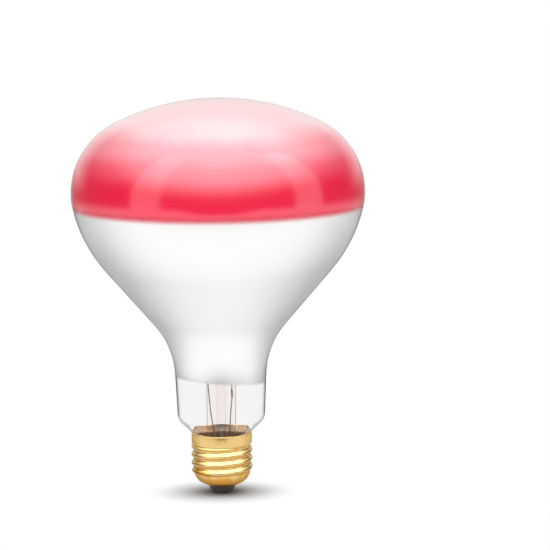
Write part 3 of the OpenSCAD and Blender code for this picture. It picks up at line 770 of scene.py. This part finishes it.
def outer_leads():
    """The thin leads run down in the stem. One climbs at the back to the collar, one goes on to the tip.
    The centre lead is thicker where it is welded."""
    side = [(-seal_x, 0, bore_end_z), (-seal_x, 0, bore_end_z - 2 * outer_wire_r)]
    side += [in_stem(shares) for shares in side_lead_shares] + under_flare
    side += [(0, climb_r, spigot_z), (0, climb_r, thread_top_z - fade_h / 2),
             (0, collar_climb_r, thread_top_z + fade_h), (0, collar_climb_r, side_hole_z - outer_wire_r),
             (0, collar_climb_r + outer_wire_r, side_hole_z), (0, collar_r, side_hole_z)]
    wire_piece("side_lead", swept(bent(side), outer_wire_r), "lead_wire", "outer_lead_side")
    centre = [(seal_x, 0, bore_end_z), (seal_x, 0, bore_end_z - 2 * outer_wire_r)]
    centre += [in_stem(shares) for shares in centre_lead_shares]
    foot_x = [share * seal_x for share in centre_foot_shares]
    centre += [(foot_x[0], 0, exhaust_tip_z), (foot_x[1], 0, (exhaust_tip_z + insulator_high.z) / 2),
               (0, 0, insulator_high.z), (0, 0, solder_high.z)]
    path = finer(bent(centre))
    bead_top, bead_foot = (in_stem(centre_lead_shares[i])[2] for i in (1, 2))
    heights = path[:, 2]
    bead = (ease(heights, bead_foot - bead_fade, bead_foot + bead_fade)
            * (1 - ease(heights, bead_top - bead_fade, bead_top + bead_fade)))
    radii = outer_wire_r + (bead_r - outer_wire_r) * bead
    wire_piece("centre_lead", swept(path, radii), "lead_wire", "outer_lead_centre")


def on_ring(angle, r, z):
    return np.array([r * math.cos(math.radians(angle)), r * math.sin(math.radians(angle)), z])


def inner_leads():
    """The stiff leads spread from the press up to the filament's ends, and are flattened round them."""
    for side, name, node in ((-1, "inner_wire_left", "inner_lead_left"),
                             (1, "inner_wire_right", "inner_lead_right")):
        angle = ring_start - clamp_turn if side > 0 else 180 - ring_start + clamp_turn
        top = on_ring(angle, ring_r, ring_z)
        foot = np.array([side * seal_x, 0, press_top_z])
        route = [foot, foot + (0, 0, inner_rise_share * (button_z - press_top_z)),
                 ((foot[0] + top[0]) / 2, top[1] / 2, button_z), top - (0, 0, 2 * clamp_r), top]
        across = np.outer(clamp_length_shares, on_ring(angle + 90, clamp_l / 2, 0))
        clamp = swept(top + across, clamp_r * np.array(clamp_radius_shares), sides=24)
        wire_piece(name, joined(swept(bent(route, inner_bend), inner_wire_r), clamp), "nickel_wire", node)


def support_hooks():
    """Each support leaves the button, bends up and ends in a loop round the coil."""
    meet = np.array([ring_r, ring_z]) + loop_r * direction(loop_meets)
    route = [(support_root_r, 0, button_z), (button_r + support_bend, 0, button_z),
             (button_r + 2 * support_bend, 0, button_z + support_bend), (meet[0], 0, meet[1])]
    turns = np.radians(loop_meets + np.linspace(loop_start, loop_end, loop_points))
    shift = np.linspace(0, 2 * support_wire_r, loop_points)
    loop = np.column_stack([ring_r + loop_r * np.cos(turns), shift, ring_z + loop_r * np.sin(turns)])
    hook = np.vstack([bent(route), loop])
    for i in range(1, supports + 1):
        angle = ring_start + ring_turn * i / (supports + 1)
        c, d = direction(angle)
        wire = swept(hook @ np.array([[c, d, 0], [-d, c, 0], [0, 0, 1]]), support_wire_r, sides=12)
        wire_piece(f"support_hook_{i}", wire, "support_wire", f"support_wire_{i}")


def filament_coil():
    """The coiled wire, in a ring that is open in front. Its ends lie in the clamps."""
    turns = np.arange(coil_turns * coil_turn_points + 1) / coil_turn_points
    r = coil_r * np.clip(np.minimum(turns, coil_turns - turns), 0, 1)
    turn, angle = 2 * np.pi * turns, np.radians(ring_start + ring_turn * turns / coil_turns)
    out = ring_r + r * np.cos(turn)
    path = np.column_stack([out * np.cos(angle), out * np.sin(angle), ring_z + r * np.sin(turn)])
    wire_piece("filament_coil", swept(path, coil_wire_r, sides=8), "tungsten", "filament")


bulb_glass()
red_front()
silver_lining()
brass_shell()
black_tip()
contact()
side_dot()
cement_collar()
outer_leads()
inner_leads()
support_hooks()
filament_coil()

# CAD nodes whose shape is right keep it and get a finish
carried = {"stem": "stem_glass", "exhaust_tube": "stem_glass", "support_rod": "stem_glass",
           "seal_wire_left": "seal_wire", "seal_wire_right": "seal_wire"}
for node, finish in carried.items():
    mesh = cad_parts[node].data
    mesh.materials.clear()
    mesh.materials.append(materials[finish])
    mesh.shade_smooth()
    mesh.set_sharp_from_angle(angle=math.radians(SMOOTH_ANGLE))


# The studio. Its sizes are in metres.

def eased(tree, value, ramp, low=0, high=1):
    """Goes from low to high between the two ends of a ramp."""
    return mapped(tree, value, *ramp, low, high, smooth=True)


def white_floor():
    """A wide pale disc that takes the bulb's shadow round its foot and is white to the eye further out.
    Near the foot its tone to the eye is darker, a painted shadow that deepens the real one.
    Gloss and metal see the studio through it, and it doesn't show from below."""
    radius, columns, squash = 8.0, 96, 1.3
    shadow_ramp, painted_shadow_core_ramp = (0.006, 0.034), (0.004, 0.022)
    # The two darker tones round the foot are a painted shadow, seen by the eye only.
    painted_shadow_core_tone, painted_shadow_foot_tone, lit_tone = (0.37, 0.385, 0.405), (0.515, 0.525, 0.54), (0.8, 0.8, 0.8)
    mesh = bpy.data.meshes.new("floor")
    angles = 2 * np.pi * np.arange(columns) / columns
    mesh.from_pydata([(radius * math.cos(a), radius * math.sin(a), 0) for a in angles], [], [range(columns)])
    floor = bpy.data.objects.new("floor", mesh)
    bpy.context.scene.collection.objects.link(floor)
    made, tree, shader = new_material("pale_floor")
    tree.nodes.remove(shader)
    path = add_node(tree, "ShaderNodeLightPath").outputs
    seen = math_node(tree, "MAXIMUM", path["Is Camera Ray"], path["Is Transmission Ray"])
    from_foot = vector_node(tree, "LENGTH", object_place(tree, (1, squash, 1)))
    away = eased(tree, from_foot, shadow_ramp)
    painted_shadow_tone = two_tones(tree, eased(tree, from_foot, painted_shadow_core_ramp), painted_shadow_core_tone, painted_shadow_foot_tone)
    lit = add_node(tree, "ShaderNodeBsdfDiffuse", Color=two_tones(tree, seen, lit_tone, painted_shadow_tone)).outputs["BSDF"]
    white = add_node(tree, "ShaderNodeEmission").outputs["Emission"]
    clear = add_node(tree, "ShaderNodeBsdfTransparent").outputs["BSDF"]
    near = mixed_shaders(tree, math_node(tree, "MULTIPLY", away, seen), lit, white)
    beneath = add_node(tree, "ShaderNodeNewGeometry").outputs["Backfacing"]
    through = math_node(tree, "MAXIMUM", math_node(tree, "MULTIPLY", away, path["Is Glossy Ray"]), beneath)
    plug(tree, tree.nodes["Material Output"].inputs["Surface"], mixed_shaders(tree, through, near, clear))
    mesh.materials.append(made)


def studio_world():
    """White to the eye and through glass. Gloss and metal see a dim band at eye level, a bright sky with
    a soft patch overhead in front, and below a white front that falls to grey at the back."""
    dim, sky, patch, front_low, back_low, pale_low = 0.14, 0.86, 2.05, 1.07, 0.55, 0.3
    fill, high_light, front_light, patch_light = 0.10, 0.75, 0.90, 0.18
    patch_elevation, side_lift = 72, 0.12
    # Each ramp runs along a direction's share to the side, to the back or up, or towards the patch
    side_ramp, behind_ramp, above_ramp, rim_ramp = (0.15, 0.6), (0.5, 0.95), (0.15, 0.65), (-0.09, 0.09)
    pale_ramp, pale_back_ramp, low_ramp = (-0.6, -0.2), (0.95, 0.75), (-0.2, 0.7)
    front_ramp, glow_ramp, high_ramp, fore_ramp = (-0.2, -0.34), (0.31, 0.94), (0.1, 0.95), (0, -0.95)
    world = bpy.data.worlds.new("studio")
    world.use_nodes = True
    tree = world.node_tree
    path = add_node(tree, "ShaderNodeLightPath").outputs
    way = add_node(tree, "ShaderNodeTexCoord").outputs["Generated"]
    place = add_node(tree, "ShaderNodeSeparateXYZ", Vector=way).outputs
    height, depth = place["Z"], place["Y"]

    aside = eased(tree, math_node(tree, "ABSOLUTE", place["X"], 0), side_ramp, 0, side_lift)
    lowered = math_node(tree, "SUBTRACT", height, aside)
    rim = math_node(tree, "MULTIPLY", eased(tree, depth, behind_ramp), eased(tree, height, rim_ramp))
    upper = blended(tree, math_node(tree, "MAXIMUM", eased(tree, height, above_ramp), rim), dim, dim + sky)
    pale = math_node(tree, "MULTIPLY", eased(tree, height, pale_ramp, 0, pale_low),
                     eased(tree, depth, pale_back_ramp))
    low = blended(tree, eased(tree, depth, low_ramp), front_low, math_node(tree, "ADD", pale, back_low))
    around = blended(tree, eased(tree, lowered, front_ramp), upper, low)
    glow = eased(tree, vector_node(tree, "DOT_PRODUCT", way, (0, *(direction(patch_elevation) * (-1, 1)))),
                 glow_ramp)
    gloss = math_node(tree, "ADD", around, math_node(tree, "MULTIPLY", glow, patch))

    high = eased(tree, height, high_ramp, fill, fill + high_light)
    fore = eased(tree, depth, fore_ramp, 0, front_light)
    soft = math_node(tree, "MULTIPLY", glow, patch * patch_light)
    rest = math_node(tree, "ADD", math_node(tree, "ADD", high, fore), soft)

    seen = math_node(tree, "MAXIMUM", path["Is Camera Ray"], path["Is Transmission Ray"])
    strength = blended(tree, seen, blended(tree, path["Is Glossy Ray"], rest, gloss), 1)
    plug_named(tree, tree.nodes["Background"], {"Color": (1, 1, 1), "Strength": strength})
    bpy.context.scene.world = world


def stand(body, right, up, back, where):
    """Puts an object into the scene, here and with these as its axes."""
    bpy.context.scene.collection.objects.link(body)
    body.matrix_world = Matrix([[right[i], up[i], back[i], where[i]] for i in range(3)] + [[0, 0, 0, 1]])


def strip_lamp(name, azimuth):
    """A tall soft lamp that stands on the floor, faces the bulb and shows in its gloss. Azimuth 0 is in
    front, and grows to the right."""
    distance, width, height, centre_z, brightness = 1.1, 0.5, 2.1, 1.01, 0.8
    lamp = bpy.data.lights.new(name, "AREA")
    lamp.shape = "RECTANGLE"
    lamp.size, lamp.size_y = width, height
    lamp.energy = brightness * width * height * math.pi
    x, y = direction(azimuth - 90)
    body = bpy.data.objects.new(name, lamp)
    stand(body, (-y, x, 0), (0, 0, 1), (x, y, 0), (x * distance, y * distance, centre_z))
    body.visible_diffuse = False


def camera():
    """The photograph's viewpoint: 1.12 m in front, a little above the bulb's top, and tipped down."""
    focal, sensor = 172.87, 36
    tilt, turn, roll = (math.radians(angle) for angle in (8.1, 1.22, 0.68))
    where = (0, -1.116, 0.253)
    lens = bpy.data.cameras.new("camera")
    lens.sensor_width, lens.lens = sensor, focal
    level = np.array([math.sin(turn), math.cos(turn), 0])
    rise = np.array([0, 0, 1])
    right = np.array([math.cos(turn), -math.sin(turn), 0])
    ahead = level * math.cos(tilt) - rise * math.sin(tilt)
    up = level * math.sin(tilt) + rise * math.cos(tilt)
    body = bpy.data.objects.new("camera", lens)
    stand(body, math.cos(roll) * right - math.sin(roll) * up, math.sin(roll) * right + math.cos(roll) * up,
          -ahead, where)
    bpy.context.scene.camera = body


white_floor()
studio_world()
strip_lamp("left_strip", -57)
strip_lamp("right_strip", 73)
camera()

bpy.context.scene.view_settings.view_transform = "Standard"
